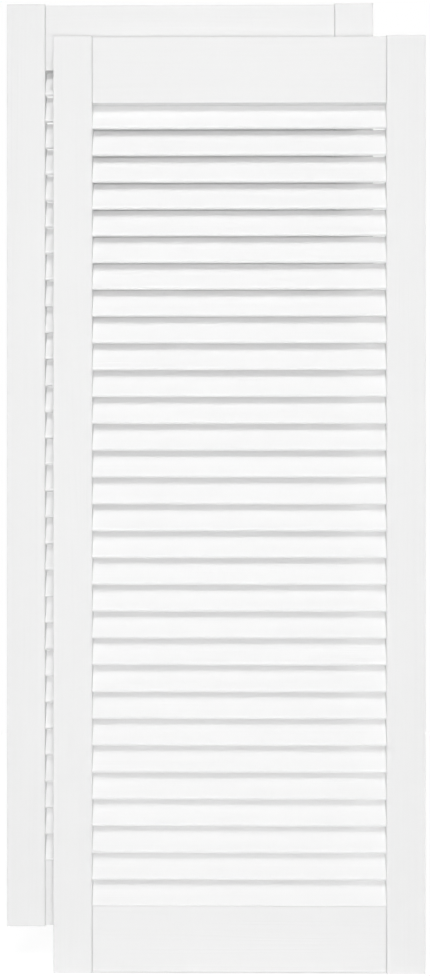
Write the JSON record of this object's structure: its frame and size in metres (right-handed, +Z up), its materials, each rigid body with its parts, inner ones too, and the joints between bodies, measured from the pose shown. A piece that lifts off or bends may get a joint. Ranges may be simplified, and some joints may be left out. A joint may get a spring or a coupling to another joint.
{
  "type": "pair of louvred cabinet doors",
  "caption": "Pair of white-painted wooden cabinet doors, each a dowelled frame of stiles and rails round fixed slanted slats that let air through.",
  "frame": {"origin": "centre of the pair's footprint at the front door's lower end", "axes": "+Z up along the stiles, -Y towards the side that the doors' faces look to, +X to the right of someone facing them"},
  "size_m": [0.447, 0.05, 1.035],
  "materials": {
    "stile_paint": "smooth white paint on planed softwood, grain along the stile",
    "rail_paint": "smooth white paint on planed softwood, grain along the rail",
    "slat_paint": "smooth white paint on planed softwood, grain along the slat",
    "beech": "bare turned beech"
  },
  "bodies": {
    "root": {"front_left_stile": "stile_paint", "front_right_stile": "stile_paint", "front_top_rail": "rail_paint", "front_bottom_rail": "rail_paint", "front_dowels": "beech", "rear_left_stile": "stile_paint", "rear_right_stile": "stile_paint", "rear_top_rail": "rail_paint", "rear_bottom_rail": "rail_paint", "rear_dowels": "beech", "front_slat_01": "slat_paint", "front_slat_02": "slat_paint", "front_slat_03": "slat_paint", "front_slat_04": "slat_paint", "front_slat_05": "slat_paint", "front_slat_06": "slat_paint", "front_slat_07": "slat_paint", "front_slat_08": "slat_paint", "front_slat_09": "slat_paint", "front_slat_10": "slat_paint", "front_slat_11": "slat_paint", "front_slat_12": "slat_paint", "front_slat_13": "slat_paint", "front_slat_14": "slat_paint", "front_slat_15": "slat_paint", "front_slat_16": "slat_paint", "front_slat_17": "slat_paint", "front_slat_18": "slat_paint", "front_slat_19": "slat_paint", "front_slat_20": "slat_paint", "front_slat_21": "slat_paint", "front_slat_22": "slat_paint", "front_slat_23": "slat_paint", "front_slat_24": "slat_paint", "front_slat_25": "slat_paint", "front_slat_26": "slat_paint", "front_slat_27": "slat_paint", "front_slat_28": "slat_paint", "front_slat_29": "slat_paint", "front_slat_30": "slat_paint", "rear_slats_01_02": "slat_paint", "rear_slats_03_04": "slat_paint", "rear_slats_05_06": "slat_paint", "rear_slats_07_08": "slat_paint", "rear_slats_09_10": "slat_paint", "rear_slats_11_12": "slat_paint", "rear_slats_13_14": "slat_paint", "rear_slats_15_16": "slat_paint", "rear_slats_17_18": "slat_paint", "rear_slats_19_20": "slat_paint", "rear_slats_21_22": "slat_paint", "rear_slats_23_24": "slat_paint", "rear_slats_25_26": "slat_paint", "rear_slats_27_28": "slat_paint", "rear_slats_29_30": "slat_paint"}
  },
  "joints": []
}
